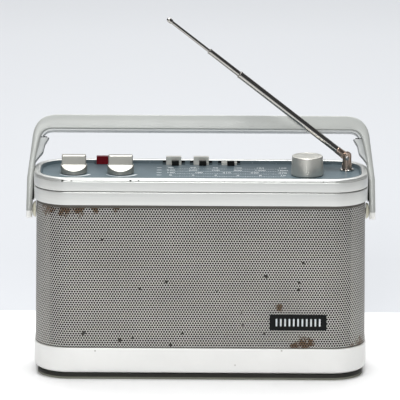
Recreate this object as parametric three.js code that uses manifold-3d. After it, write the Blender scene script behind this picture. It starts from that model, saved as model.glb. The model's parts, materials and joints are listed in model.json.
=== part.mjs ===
// A silver portable radio with a bail handle and a telescopic aerial.
// Millimetres, +Z up, front face towards -Y, origin on the table under the middle of the cabinet.
import * as THREE from "three";
import { mergeVertices } from "three/addons/utils/BufferGeometryUtils.js";
import Module from "manifold-3d";

const wasm = await Module();
wasm.setup();

// ---------- driving dimensions ----------
const GAP = 0.3; // clearance between touching pieces
const CORNER = 31; // plan radius of the cabinet's four corners
const WALL = 2.4; // moulded shells

// The cabinet's heights are counted from just below its tray, and the plinth lifts them all.
const LIFT = 4.7;
const UNDERSIDE = 0.6;
const PLINTH = { inset: 3, wall: 7, height: UNDERSIDE + LIFT - GAP };
const TRAY = { width: 286, depth: 82, top: 23.3, roundHeight: 6, roundSize: 4 };
const BODY_BOTTOM = { width: 284, depth: 80 }; // grille and back cover at the tray
const BODY_TOP = { width: 282, depth: 78 }; // and under the band
const BAND = { width: 286.4, depth: 82, bottom: 148.8, seam: 160.7, taper: 0.5 };
const TOP = { height: 172.3, edge: 2.4, rim: 5.6 };
const PANEL = { floor: 169.3, edge: 171.8, bevel: 1.6, under: 166.5 };

const GRILLE_BACK = 14; // where the grille's two ends meet the back cover
const GRILLE_SHEET = 1;

const SPEAKER = { x: -56, z: 86, radius: 50 };
const BAFFLE = { y: -36, thickness: 2.5, halfWidth: 108, bottom: 26, top: 146 };
const TRAY_BAY = { left: -6, right: 100, bottom: 29, top: 88, front: 7, back: 36.2, wall: 1.5 };
const DOOR = { left: -8, right: 102, bottom: 26.5, top: 90.5, face: 39.4, thickness: 2 };
const CELL = { radius: 13.1, length: 50 };
const JACK = { x: -60, z: 60, radius: 5 };
const SCREWS = [
  [-107, 34],
  [107, 34],
  [-104, 138],
  [104, 138],
];
const BADGE = { x: 83.8, z: 46.8, width: 48.8, height: 13.7, thickness: 0.9 };
const BOARD = { left: -126, right: 74, halfDepth: 27, bottom: 149.6, top: 151.2 };
const SWITCH_TOP = 157.9;

const HANDLE = {
  pivotZ: 136.2,
  lean: 20, // degrees back from upright
  // Half widths at the foot, at the bend and at the corner's start, and the bar's height.
  outer: { foot: 150, bend: 149.5, bendAt: 26, top: 145, bar: 81.1, radius: 19.5 },
  inner: { foot: 145, bend: 143.4, bendAt: 39.2, top: 138.6, bar: 68.9, radius: 10.5 },
  depth: 16,
  footRadius: 7.6,
};
// Thin strips let into the arms and the bar: heights from the pivot, and the arm strips' inner edge.
const LINER = { from: 39.2, seam: 61.5, top: 90, wall: 1.6, sunk: 2.4, gripProud: 1.8, armProud: 12 };
const ARM_LINER_EDGE = [
  [143.3, LINER.from],
  [139.2, 45],
  [136.2, 48.2],
  [134.4, 55.6],
  [131, LINER.seam],
];
const PIVOT = { bossRadius: 7, holeRadius: 2.9, shankRadius: 2.5, headRadius: 4.6, headDepth: 1.6 };

const ROUND_KNOB = { x: 91, y: -8, radius: 13.8, height: 16.2 };
const GRIP_KNOB = { y: -4, radius: 11.4, skirt: 2.9, shoulder: 6.6, height: 15.2, grip: 6 };
const GRIP_KNOBS = { volume: -109, tone: -69 };
const SHAFT = { radius: 3, bottom: 162, intoKnob: 5.6 };

const BUTTON = { y: 31.9, width: 13.2, depth: 4.6, play: 0.4, well: 19.4, top: 176, travel: 4.6 };
const BAND_BUTTONS = { 1: -23.6, 2: 0.1, 3: 24.3 };
const PRESSED_BUTTON = "3";
const WINDOW = { y: 26, width: 6.2, depth: 3, height: 4, shift: 1.3 };
const POWER = { x: -85, top: 176, width: 10.6 };

const AERIAL = { x: 125.5, y: 11, elbowZ: 180.5, elevation: 37.9 };
const MAST = { collar: 5, length: 118 }; // first tube, measured from the elbow pin
const TUBES = [
  { name: "antenna_tube_1", radius: 3.2, bore: 2.8 },
  { name: "antenna_tube_2", radius: 2.5, bore: 2.1, shows: 33, length: 105 },
];
const TIP = { radius: 1.5, shows: 41, length: 100, knobRadius: 2.1, knobLength: 5 };

// ---------- materials ----------
const finish = (color, roughness, metalness) =>
  new THREE.MeshStandardMaterial({ color, roughness, metalness });
const silverPaint = finish(0xd4d6d3, 0.35, 0.4);
const palePaint = finish(0xe6e6e4, 0.4, 0.2);
const handlePaint = finish(0xc2c6c2, 0.38, 0.3);
const panelBlue = finish(0x5f6f7a, 0.22, 0.1);
const blackPlastic = finish(0x15171a, 0.4, 0);
const redPlastic = finish(0x8c1020, 0.3, 0);
const knobSilver = finish(0xc9cac3, 0.3, 0.6);
const chrome = finish(0xd0d0cc, 0.12, 1);
const steel = finish(0xa9aaa6, 0.35, 0.9);
const grilleSilver = finish(0xa6a6a0, 0.4, 0.6);
const rubber = finish(0x1b1b1a, 0.8, 0);
const board = finish(0x2f5a38, 0.5, 0);
const ferrite = finish(0x2a2826, 0.7, 0);
const paper = finish(0x22211f, 0.85, 0);
const cellJacket = finish(0xb08a3c, 0.4, 0.4);

// ---------- solid helpers ----------
const radians = THREE.MathUtils.degToRad;

function solid(geometry) {
  const bare = new THREE.BufferGeometry().setAttribute("position", geometry.getAttribute("position"));
  if (geometry.index) bare.setIndex(geometry.index);
  const merged = mergeVertices(bare, 1e-4);
  const vertProperties = merged.attributes.position.array;
  return new wasm.Manifold(new wasm.Mesh({ numProp: 3, vertProperties, triVerts: merged.index.array }));
}

function geometryOf(body) {
  const { vertProperties, triVerts } = body.getMesh();
  return new THREE.BufferGeometry()
    .setAttribute("position", new THREE.BufferAttribute(vertProperties, 3))
    .setIndex(new THREE.BufferAttribute(triVerts, 1));
}

const join = (...bodies) => bodies.reduce((all, next) => all.add(next));
const sorted = (...ends) => ends.sort((a, b) => a - b);
const cut = (body, ...tools) => tools.reduce((left, tool) => left.subtract(tool), body);

/** A box from its low corner to its high corner. */
function block(low, high) {
  const size = high.map((value, axis) => value - low[axis]);
  const centre = high.map((value, axis) => (value + low[axis]) / 2);
  return solid(new THREE.BoxGeometry(...size).translate(...centre));
}

/** A cylinder along X, Y or Z, from one coordinate to another on that axis. */
function rod(axis, radius, from, to, [a, b], segments = 20) {
  const geometry = new THREE.CylinderGeometry(radius, radius, to - from, segments);
  if (axis === "x") geometry.rotateZ(Math.PI / 2).translate((from + to) / 2, a, b);
  if (axis === "y") geometry.translate(a, (from + to) / 2, b);
  if (axis === "z") geometry.rotateX(Math.PI / 2).translate(a, b, (from + to) / 2);
  return solid(geometry);
}

/** A turned piece about +Z from [radius, z] points that go up the outside and close on the axis. */
function turned(points, segments = 20) {
  const profile = points.map(([radius, z]) => new THREE.Vector2(radius, z));
  return solid(new THREE.LatheGeometry(profile, segments).rotateX(Math.PI / 2));
}

/** The cabinet's plan: a rectangle with round corners. */
function plan({ width, depth }, inset = 0) {
  const x = width / 2 - inset;
  const y = depth / 2 - inset;
  const r = CORNER - inset;
  const shape = new THREE.Shape();
  shape.moveTo(-x + r, -y);
  shape.lineTo(x - r, -y);
  shape.absarc(x - r, r - y, r, -Math.PI / 2, 0);
  shape.lineTo(x, y - r);
  shape.absarc(x - r, y - r, r, 0, Math.PI / 2);
  shape.lineTo(-x + r, y);
  shape.absarc(r - x, y - r, r, Math.PI / 2, Math.PI);
  shape.lineTo(-x, r - y);
  shape.absarc(r - x, r - y, r, Math.PI, 1.5 * Math.PI);
  return shape;
}

/** An outline raised from z0 to z1, straight-sided. */
function slab(shape, z0, z1) {
  const options = { depth: z1 - z0, bevelEnabled: false, curveSegments: 8 };
  return solid(new THREE.ExtrudeGeometry(shape, options).translate(0, 0, z0));
}

/** A side view, drawn in Y and Z, as a bar of that span across the middle. */
function alongX(shape, span) {
  const options = { depth: span, bevelEnabled: false, curveSegments: 8 };
  const geometry = new THREE.ExtrudeGeometry(shape, options).translate(0, 0, -span / 2);
  return solid(geometry.rotateX(Math.PI / 2).rotateZ(Math.PI / 2));
}

/** As slab, but the end at z0 draws in by size over height: a plain taper, or a round with more segments. */
function footed(shape, z0, z1, height, size, segments) {
  const options = {
    depth: z1 - z0 - height,
    curveSegments: 8,
    bevelThickness: height,
    bevelSize: size,
    bevelOffset: -size,
    bevelSegments: segments,
  };
  const both = solid(new THREE.ExtrudeGeometry(shape, options).translate(0, 0, z0 + height));
  return both.trimByPlane([0, 0, -1], -z1);
}

/** As footed, but it is the end at z1 that draws in. */
function crowned(shape, z0, z1, height, size, segments) {
  return footed(shape, -z1, -z0, height, size, segments).mirror([0, 0, 1]);
}

/** The tapered body between the tray and the band, drawn in all round by inset. */
function bodyBlock(inset, z0 = TRAY.top, z1 = BAND.bottom) {
  const taper = (BODY_BOTTOM.width - BODY_TOP.width) / 2;
  return crowned(plan(BODY_BOTTOM, inset), z0, z1, z1 - z0 - 0.01, taper, 1);
}

// ---------- scene graph ----------
const radio = new THREE.Group();
const cabinet = new THREE.Group();
cabinet.position.z = LIFT;
radio.add(cabinet);

function add(name, body, material, group = cabinet) {
  const mesh = new THREE.Mesh(geometryOf(body), material);
  mesh.name = name;
  group.add(mesh);
  return mesh;
}

const SIDES = { left: -1, right: 1 };

// ---------- cabinet ----------
function baseTray() {
  const outside = footed(plan(TRAY), UNDERSIDE, TRAY.top, TRAY.roundHeight, TRAY.roundSize, 4);
  const inside = slab(plan(TRAY, TRAY.roundSize + 1), UNDERSIDE + WALL, TRAY.top + 1);
  const mouth = slab(plan(TRAY, WALL + 0.6), UNDERSIDE + TRAY.roundHeight, TRAY.top + 1);
  return cut(outside, inside, mouth);
}

/** The dark ring that the tray stands on, set in from its edge. */
function basePlinth() {
  const ring = slab(plan(TRAY, PLINTH.inset), 0, PLINTH.height);
  return cut(ring, slab(plan(TRAY, PLINTH.inset + PLINTH.wall), -1, PLINTH.height + 1));
}

function frontGrille() {
  const z0 = TRAY.top + GAP;
  const z1 = BAND.bottom - GAP;
  const sheet = cut(bodyBlock(0, z0, z1), bodyBlock(GRILLE_SHEET, z0 - 1, z1 + 1));
  const pivotHole = rod("x", PIVOT.shankRadius + 0.6, -TRAY.width, TRAY.width, [0, HANDLE.pivotZ]);
  return cut(sheet.trimByPlane([0, -1, 0], -GRILLE_BACK), pivotHole);
}

function backCover() {
  const z0 = TRAY.top + GAP;
  const z1 = BAND.bottom - GAP;
  const shell = cut(bodyBlock(0, z0, z1), bodyBlock(WALL, z0 - 1, z1 + 1));
  const half = shell.trimByPlane([0, 1, 0], GRILLE_BACK + GAP);
  const doorway = block([DOOR.left - GAP, 30, DOOR.bottom - GAP], [DOOR.right + GAP, 50, DOOR.top + GAP]);
  const holes = SCREWS.map(([x, z]) => rod("y", 2, 30, 50, [x, z], 12));
  const jackHole = rod("y", JACK.radius + GAP, 30, 50, [JACK.x, JACK.z]);
  return cut(half, doorway, jackHole, ...holes);
}

/** The cabinet's back face leans forward as it rises: its Y at a height. */
function backFaceAt(z) {
  const share = (z - TRAY.top) / (BAND.bottom - TRAY.top);
  return THREE.MathUtils.lerp(BODY_BOTTOM.depth, BODY_TOP.depth, share) / 2;
}

function backScrew(x, z) {
  const profile = [
    [0, -9],
    [1.6, -9],
    [1.6, 0],
    [3.4, 0],
    [3, 0.7],
    [0, 0.7],
  ];
  return turned(profile, 16).rotate([-90, 0, 0]).translate([x, backFaceAt(z) + 0.15, z]);
}

function headphoneJack() {
  const y = backFaceAt(JACK.z);
  const profile = [
    [1.8, -10],
    [JACK.radius, -10],
    [JACK.radius, 0.4],
    [JACK.radius - 0.6, 1],
    [1.8, 1],
    [1.8, -10],
  ];
  return turned(profile).rotate([-90, 0, 0]).translate([JACK.x, y, JACK.z]);
}

function speakerBaffle() {
  const { y, thickness, halfWidth, bottom, top } = BAFFLE;
  const sheet = block([-halfWidth, y, bottom], [halfWidth, y + thickness, top]);
  return cut(sheet, rod("y", SPEAKER.radius - 4, y - 1, y + thickness + 1, [SPEAKER.x, SPEAKER.z], 32));
}

function lowerBand() {
  const z1 = BAND.seam - GAP;
  const outside = footed(plan(BAND), BAND.bottom, z1, z1 - BAND.bottom - 2, BAND.taper, 1);
  const ring = cut(outside, slab(plan(BAND, WALL + BAND.taper), BAND.bottom - 1, z1 + 1));
  const lugs = Object.values(SIDES).map((side) => {
    const [x0, x1] = sorted(side * 134, side * 138);
    const [a0, a1] = sorted(side * 134, side * 141.5);
    const plate = block([x0, -8, HANDLE.pivotZ - 8], [x1, 8, BAND.bottom + 4]);
    const shelf = block([a0, -8, BAND.bottom + 0.5], [a1, 8, BAND.bottom + 4]);
    return cut(plate.add(shelf), rod("x", PIVOT.shankRadius + GAP, x0 - 1, x1 + 1, [0, HANDLE.pivotZ]));
  });
  return join(ring, ...lugs);
}

function topCover() {
  const outside = crowned(plan(BAND), BAND.seam, TOP.height, TOP.edge, TOP.edge, 3);
  const opening = slab(plan(BAND, TOP.rim), PANEL.under - GAP, TOP.height + 1);
  const ledge = slab(plan(BAND, TOP.rim + 1.8), BAND.seam - 1, PANEL.under);
  const bandNotches = Object.values(BAND_BUTTONS).map((x) => ledgeNotch(x, BUTTON.width));
  return cut(outside, opening, ledge, ...bandNotches, ledgeNotch(POWER.x, POWER.width));
}

/** Room behind a push button, in the ledge that the panel rests on. */
function ledgeNotch(x, width) {
  const half = width / 2 + BUTTON.play;
  const y1 = BUTTON.y + BUTTON.depth / 2 + BUTTON.play;
  return block([x - half, BUTTON.y, BAND.seam - 1], [x + half, y1, PANEL.under]);
}

function controlPanel() {
  const sheet = slab(plan(BAND, TOP.rim + GAP), PANEL.under, PANEL.edge);
  const rise = PANEL.edge - PANEL.floor;
  const dishPlan = plan(BAND, TOP.rim + GAP + 0.5);
  const dish = footed(dishPlan, PANEL.floor, PANEL.edge + 1, rise, PANEL.bevel - 0.5, 1);
  const shaftHoles = [
    [ROUND_KNOB.x, ROUND_KNOB.y],
    [GRIP_KNOBS.volume, GRIP_KNOB.y],
    [GRIP_KNOBS.tone, GRIP_KNOB.y],
  ].map((at) => rod("z", SHAFT.radius + 0.6, PANEL.under - 1, PANEL.floor + 1, at));
  const aerialHole = rod("z", 4.3, PANEL.under - 1, PANEL.floor + 1, [AERIAL.x, AERIAL.y]);
  const keyways = Object.values(BAND_BUTTONS).flatMap((x) => buttonSlot(x, BUTTON.width, BUTTON.well));
  const powerway = buttonSlot(POWER.x, POWER.width, POWER.width + 4);
  return cut(sheet, dish, ...shaftHoles, aerialHole, ...keyways, ...powerway);
}

/** The hole that a push button runs in, and the wider sunk well to its left and right. */
function buttonSlot(x, width, well) {
  const y0 = BUTTON.y - BUTTON.depth / 2 - BUTTON.play;
  const y1 = BUTTON.y + BUTTON.depth / 2 + BUTTON.play;
  const half = width / 2 + BUTTON.play;
  return [
    block([x - half, y0, PANEL.under - 1], [x + half, y1, PANEL.edge + 1]),
    block([x - well / 2, y0, PANEL.floor - 1.2], [x + well / 2, y1, PANEL.edge + 1]),
  ];
}

function batteryTray() {
  const { left, right, bottom, top, front, back, wall } = TRAY_BAY;
  const shell = block([left + GAP, front, bottom + GAP], [right - GAP, back, top - GAP]);
  return cut(shell, block([left + wall, front + wall, bottom + wall], [right - wall, back + 1, top - wall]));
}

/** A flush leaf that turns outwards about its bottom outer edge, with a thumb hollow at the top. */
function batteryDoor() {
  const { left, right, bottom, top, face, thickness } = DOOR;
  const leaf = block([left, face - thickness, bottom], [right, face, top]);
  const thumb = rod("y", 9, face - 0.8, face + 5, [(left + right) / 2, top - 1]);
  return cut(leaf, thumb);
}

function badgePlate() {
  const { x, z, width, height, thickness } = BADGE;
  const y = -backFaceAt(z) - 0.15;
  return block([x - width / 2, y - thickness, z - height / 2], [x + width / 2, y, z + height / 2]);
}

add("base_tray", baseTray(), palePaint);
add("base_plinth", basePlinth(), rubber, radio);
add("front_grille", frontGrille(), grilleSilver);
add("back_cover", backCover(), palePaint);
SCREWS.forEach(([x, z], index) => add(`back_screw_${index + 1}`, backScrew(x, z), steel));
add("headphone_jack", headphoneJack(), blackPlastic);
add("speaker_baffle", speakerBaffle(), blackPlastic);
add("lower_band", lowerBand(), silverPaint);
add("top_cover", topCover(), silverPaint);
add("control_panel", controlPanel(), panelBlue);
add("battery_tray", batteryTray(), blackPlastic);
add("battery_door", batteryDoor(), palePaint);
add("badge_plate", badgePlate(), blackPlastic);

// ---------- handle, drawn upright about its pivot and then leaned back ----------
/** One edge of the handle's front view from foot to foot, moved towards the cabinet by a distance. */
function handleEdge({ foot, bend, bendAt, top, bar, radius }, inward = 0, reversed = false) {
  const r = radius - inward;
  const path = new THREE.Path();
  path.moveTo(foot - inward, -HANDLE.footRadius - 1);
  path.lineTo(foot - inward, 0);
  path.lineTo(bend - inward, bendAt);
  path.lineTo(top - inward, bar - radius);
  path.quadraticCurveTo(top - inward - 0.1 * r, bar - inward, top - inward - 1.1 * r, bar - inward);
  const right = path.getPoints(8);
  const left = right.map((point) => new THREE.Vector2(-point.x, point.y)).reverse();
  return reversed ? [...right, ...left].reverse() : [...right, ...left];
}

/** The U between an outer and an inner edge, as a slab across the handle's depth. */
function handleU(outerEdge, innerEdge, depth) {
  const shape = new THREE.Shape([...outerEdge, ...innerEdge]);
  const geometry = new THREE.ExtrudeGeometry(shape, { depth, bevelEnabled: false });
  return solid(geometry.rotateX(Math.PI / 2).translate(0, depth / 2, 0));
}

/** The side view of both arms: a round foot about the pivot and straight edges above it. */
function sideProfile(inset) {
  const r = HANDLE.footRadius - inset;
  const half = HANDLE.depth / 2 - inset;
  const high = HANDLE.outer.bar + 2;
  const shape = new THREE.Shape();
  shape.moveTo(r, 0);
  shape.lineTo(half, 20);
  shape.lineTo(half, high);
  shape.lineTo(-half, high);
  shape.lineTo(-half, 20);
  shape.lineTo(-r, 0);
  shape.absarc(0, 0, r, Math.PI, 2 * Math.PI);
  const span = 2 * HANDLE.outer.foot + 4;
  return alongX(shape, span);
}

function handleShell() {
  const whole = handleU(handleEdge(HANDLE.outer), handleEdge(HANDLE.inner, 0, true), HANDLE.depth);
  const channelEdges = [handleEdge(HANDLE.inner, -LINER.sunk), handleEdge(HANDLE.inner, 3, true)];
  const channel = handleU(...channelEdges, HANDLE.depth).intersect(sideProfile(LINER.wall));
  const pocket = channel.intersect(block([-160, -20, LINER.from - GAP], [160, 20, LINER.top]));
  const bores = Object.values(SIDES).flatMap((side) => {
    const face = side * HANDLE.outer.foot;
    const through = sorted(face - side * 8, face + side);
    const sink = sorted(face - side * (PIVOT.headDepth + 0.4), face + side);
    return [
      rod("x", PIVOT.holeRadius, ...through, [0, 0]),
      rod("x", PIVOT.headRadius + 0.4, ...sink, [0, 0]),
    ];
  });
  return cut(whole.intersect(sideProfile(0)), pocket, ...bores);
}

/** What fits the shell's channel between two heights, and reaches a little or a lot out of it. */
function channelFill(low, high, proud) {
  const outerEdge = handleEdge(HANDLE.inner, -LINER.sunk + GAP);
  const strip = handleU(outerEdge, handleEdge(HANDLE.inner, proud, true), HANDLE.depth);
  return strip.intersect(sideProfile(LINER.wall + GAP)).intersect(block([-160, -20, low], [160, 20, high]));
}

/** The strip on one arm's inner side, which widens towards the bar. */
function armLiner(side) {
  const shape = new THREE.Shape();
  shape.moveTo(side * 150, LINER.from);
  ARM_LINER_EDGE.forEach(([x, height]) => shape.lineTo(side * x, height));
  shape.lineTo(side * 150, LINER.seam);
  const geometry = new THREE.ExtrudeGeometry(shape, { depth: HANDLE.depth, bevelEnabled: false });
  const wedge = solid(geometry.rotateX(Math.PI / 2).translate(0, HANDLE.depth / 2, 0));
  return channelFill(LINER.from, LINER.seam, LINER.armProud).intersect(wedge);
}

const handle = new THREE.Group();
handle.position.z = HANDLE.pivotZ;
handle.rotation.x = -radians(HANDLE.lean);
cabinet.add(handle);

add("handle_shell", handleShell(), handlePaint, handle);
add("handle_grip_liner", channelFill(LINER.seam + GAP, LINER.top, LINER.gripProud), handlePaint, handle);
add("handle_liner_left", armLiner(-1), handlePaint, handle);
add("handle_liner_right", armLiner(1), handlePaint, handle);

function pivotBoss(side) {
  const inner = BODY_TOP.width / 2 + 0.8;
  const outer = HANDLE.inner.foot - GAP;
  const profile = [
    [PIVOT.shankRadius + GAP, 0],
    [PIVOT.bossRadius, 0],
    [PIVOT.bossRadius, (outer - inner) * 0.5],
    [PIVOT.bossRadius - 1.4, outer - inner],
    [PIVOT.shankRadius + GAP, outer - inner],
    [PIVOT.shankRadius + GAP, 0],
  ];
  return turned(profile, 24).rotate([0, side * 90, 0]).translate([side * inner, 0, HANDLE.pivotZ]);
}

function handleScrew(side) {
  const head = HANDLE.outer.foot - 0.2;
  const neck = head - PIVOT.headDepth;
  const tip = 130;
  const profile = [
    [0, tip],
    [PIVOT.shankRadius, tip],
    [PIVOT.shankRadius, neck],
    [PIVOT.headRadius, neck],
    [PIVOT.headRadius, head - 0.5],
    [PIVOT.headRadius - 0.5, head],
    [0, head],
  ];
  return turned(profile, 20).rotate([0, side * 90, 0]).translate([0, 0, HANDLE.pivotZ]);
}

for (const [name, side] of Object.entries(SIDES)) {
  add(`pivot_boss_${name}`, pivotBoss(side), palePaint);
  add(`handle_screw_${name}`, handleScrew(side), steel);
}

// ---------- controls ----------
function shaftBore() {
  return rod("z", SHAFT.radius + GAP, -1, SHAFT.intoKnob + GAP, [0, 0]);
}

function shaft(x, y) {
  const top = PANEL.floor + 0.6 + SHAFT.intoKnob;
  return rod("z", SHAFT.radius, SHAFT.bottom, top, [x, y], 16);
}

/** A disc that slopes up from its rim to a straight grip across it. */
function gripKnob(x) {
  const { radius, skirt, shoulder, height, grip, y } = GRIP_KNOB;
  const shape = new THREE.Shape();
  shape.moveTo(-radius, 0);
  shape.lineTo(radius, 0);
  shape.lineTo(radius, skirt);
  shape.lineTo(grip / 2 + GAP, shoulder);
  shape.lineTo(grip / 2, height);
  shape.lineTo(-grip / 2, height);
  shape.lineTo(-grip / 2 - GAP, shoulder);
  shape.lineTo(-radius, skirt);
  const round = rod("z", radius - 0.05, -1, height + 1, [0, 0], 48);
  return cut(alongX(shape, 2 * radius).intersect(round), shaftBore()).translate([x, y, PANEL.floor + 0.6]);
}

function roundKnob() {
  const { x, y, radius, height } = ROUND_KNOB;
  const profile = [
    [0, 0],
    [radius - 0.8, 0],
    [radius, height - 1.4],
    [radius - 0.5, height - 0.4],
    [radius - 1.4, height],
    [0, height],
  ];
  return cut(turned(profile, 36), shaftBore()).translate([x, y, PANEL.floor + 0.6]);
}

function pushButton(x, top, width) {
  const half = width / 2;
  const [y0, y1] = [BUTTON.y - BUTTON.depth / 2, BUTTON.y + BUTTON.depth / 2];
  const cap = block([x - half, y0, PANEL.under + 0.3], [x + half, y1, top]);
  const stem = block([x - 2, BUTTON.y - 2, PANEL.under - 1.5], [x + 2, BUTTON.y + 2, PANEL.under + 1]);
  return cap.add(stem);
}

function indicatorWindow(x) {
  const { y, width, depth, height, shift } = WINDOW;
  const low = [x + shift - width / 2, y - depth / 2, PANEL.floor + 0.2];
  return block(low, [low[0] + width, low[1] + depth, low[2] + height]);
}

for (const [name, x] of Object.entries(GRIP_KNOBS)) {
  add(`${name}_knob`, gripKnob(x), knobSilver);
  add(`${name}_shaft`, shaft(x, GRIP_KNOB.y), steel);
}
add("tuning_knob", roundKnob(), knobSilver);
add("tuning_shaft", shaft(ROUND_KNOB.x, ROUND_KNOB.y), steel);
add("power_button", pushButton(POWER.x, POWER.top, POWER.width), redPlastic);
for (const [name, x] of Object.entries(BAND_BUTTONS)) {
  const down = name === PRESSED_BUTTON ? BUTTON.travel : 0;
  const button = add(`band_button_${name}`, pushButton(x, BUTTON.top, BUTTON.width), knobSilver);
  button.position.z = -down;
  add(`band_window_${name}`, indicatorWindow(x), blackPlastic);
}

// ---------- aerial ----------
function antennaSocket() {
  const z = PANEL.floor;
  const profile = [
    [0, z - 9],
    [4, z - 9],
    [4, z + 0.2],
    [6, z + 0.2],
    [6, z + 1],
    [5.4, z + 1.4],
    [0, z + 1.4],
  ];
  return turned(profile, 24).translate([AERIAL.x, AERIAL.y, 0]);
}

function antennaSwivel() {
  const low = PANEL.floor + 1.4 + GAP;
  const drum = rod("z", 4.3, low, AERIAL.elbowZ + 4.5, [AERIAL.x, AERIAL.y], 20);
  const slot = block([-20, -2.1, low + 3.6], [20, 2.1, AERIAL.elbowZ + 6]).translate([AERIAL.x, AERIAL.y, 0]);
  const crown = rod("y", 4.6, AERIAL.y - 6, AERIAL.y + 6, [AERIAL.x, AERIAL.elbowZ], 20);
  const skirt = block([AERIAL.x - 6, AERIAL.y - 6, low], [AERIAL.x + 6, AERIAL.y + 6, AERIAL.elbowZ]);
  const bore = rod("y", 1.5, AERIAL.y - 6, AERIAL.y + 6, [AERIAL.x, AERIAL.elbowZ], 12);
  return cut(drum.intersect(crown.add(skirt)), slot, bore);
}

function antennaPin() {
  return rod("y", 1.2, AERIAL.y - 4.4, AERIAL.y + 4.4, [AERIAL.x, AERIAL.elbowZ], 12);
}

/** The first tube with the flat tang that turns on the elbow pin. */
function mast() {
  const { radius, bore } = TUBES[0];
  const barrel = rod("z", radius, MAST.collar, MAST.length, [0, 0], 16);
  const hollow = rod("z", bore, MAST.collar + 6, MAST.length + 1, [0, 0], 16);
  const tang = join(
    rod("y", 3.2, -1.8, 1.8, [0, 0], 20),
    block([-3.2, -1.8, 0], [3.2, 1.8, MAST.collar + 1]).intersect(rod("z", radius, -1, 9, [0, 0], 16)),
  );
  return cut(barrel.add(tang), hollow, rod("y", 1.5, -4, 4, [0, 0], 12));
}

/** A tube that slides in the one before it; bottom and mouth are its ends, from the elbow pin. */
function tube({ radius, bore }, bottom, mouth) {
  return cut(rod("z", radius, bottom, mouth, [0, 0], 16), rod("z", bore, bottom - 1, mouth + 1, [0, 0], 16));
}

function aerialTip(bottom, mouth) {
  const stem = rod("z", TIP.radius, bottom, mouth, [0, 0], 12);
  const { knobRadius: r, knobLength: length } = TIP;
  const profile = [
    [0, 0],
    [r, 0],
    [r, length - 1.2],
    [r - 0.9, length],
    [0, length],
  ];
  return stem.add(turned(profile, 16).translate([0, 0, mouth - 0.5]));
}

add("antenna_socket", antennaSocket(), chrome);
add("antenna_swivel", antennaSwivel(), chrome);
add("antenna_pin", antennaPin(), steel);

const aerial = new THREE.Group();
aerial.position.set(AERIAL.x, AERIAL.y, AERIAL.elbowZ);
aerial.rotation.y = -radians(90 - AERIAL.elevation);
cabinet.add(aerial);

add("antenna_tube_1", mast(), chrome, aerial);
let mouth = MAST.length;
for (const section of TUBES.slice(1)) {
  mouth += section.shows;
  add(section.name, tube(section, mouth - section.length, mouth), chrome, aerial);
}
mouth += TIP.shows;
add("antenna_tip", aerialTip(mouth - TIP.length, mouth), chrome, aerial);

// ---------- works inside the cabinet ----------
/** Turns a piece made about +Z to face the grille, at the loudspeaker's place. */
function atSpeaker(body) {
  return body.rotate([-90, 0, 0]).translate([SPEAKER.x, BAFFLE.y + BAFFLE.thickness, SPEAKER.z]);
}

function speakerFrame() {
  const r = SPEAKER.radius;
  const profile = [
    [r - 6, GAP],
    [r, GAP],
    [r, 2.3],
    [r - 3.5, 2.3],
    [22, 22],
    [22, 26],
    [15, 26],
    [15, 24],
    [19.5, 24],
    [19.5, 21],
    [r - 6, 2.3],
    [r - 6, GAP],
  ];
  return atSpeaker(turned(profile, 28));
}

function speakerCone() {
  const r = SPEAKER.radius;
  const profile = [
    [0, 12],
    [9, 16],
    [r - 7, 1.4],
    [r - 7, 2.4],
    [9, 17.2],
    [0, 13.2],
  ];
  return atSpeaker(turned(profile, 28));
}

function speakerMagnet() {
  return atSpeaker(rod("z", 22, 26 + GAP, 40, [0, 0], 28));
}

function tuningCapacitor() {
  const { x, y } = ROUND_KNOB;
  return block([x - 13, y - 13, 140], [x + 13, y + 13, SHAFT.bottom - GAP]);
}

add("speaker_frame", speakerFrame(), steel);
add("speaker_cone", speakerCone(), paper);
add("speaker_magnet", speakerMagnet(), steel);
add("circuit_board", block(
  [BOARD.left, -BOARD.halfDepth, BOARD.bottom],
  [BOARD.right, BOARD.halfDepth, BOARD.top],
), board);
for (const [name, x] of Object.entries(GRIP_KNOBS)) {
  add(`${name}_pot`, rod("z", 8.5, BOARD.top + GAP, SHAFT.bottom - GAP, [x, GRIP_KNOB.y], 20), steel);
}
add("tuning_capacitor", tuningCapacitor(), palePaint);
add("band_switch", block([-34, 22, BOARD.top + GAP], [36, 34, SWITCH_TOP]), blackPlastic);
add("power_switch", block([POWER.x - 9, 22, BOARD.top + GAP], [POWER.x + 9, 34, SWITCH_TOP]), blackPlastic);
add("ferrite_rod", rod("x", 5, 0, 110, [22, 100], 16), ferrite);
for (let column = 0; column < 2; column += 1) {
  for (let row = 0; row < 2; row += 1) {
    const left = TRAY_BAY.left + TRAY_BAY.wall + 1.2 + column * (CELL.length + 1.2);
    const z = TRAY_BAY.bottom + TRAY_BAY.wall + CELL.radius + 0.4 + row * (2 * CELL.radius + 1);
    const y = TRAY_BAY.front + TRAY_BAY.wall + CELL.radius + GAP;
    const cell = rod("x", CELL.radius, left, left + CELL.length, [y, z], 20);
    add(`battery_cell_${2 * column + row + 1}`, cell, cellJacket);
  }
}

export default radio;
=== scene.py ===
"""A silver portable radio: perforated front, blue-grey control panel, swinging handle, telescopic aerial."""
import json
import math

import bmesh
import bpy
from mathutils import Matrix, Vector


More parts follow.
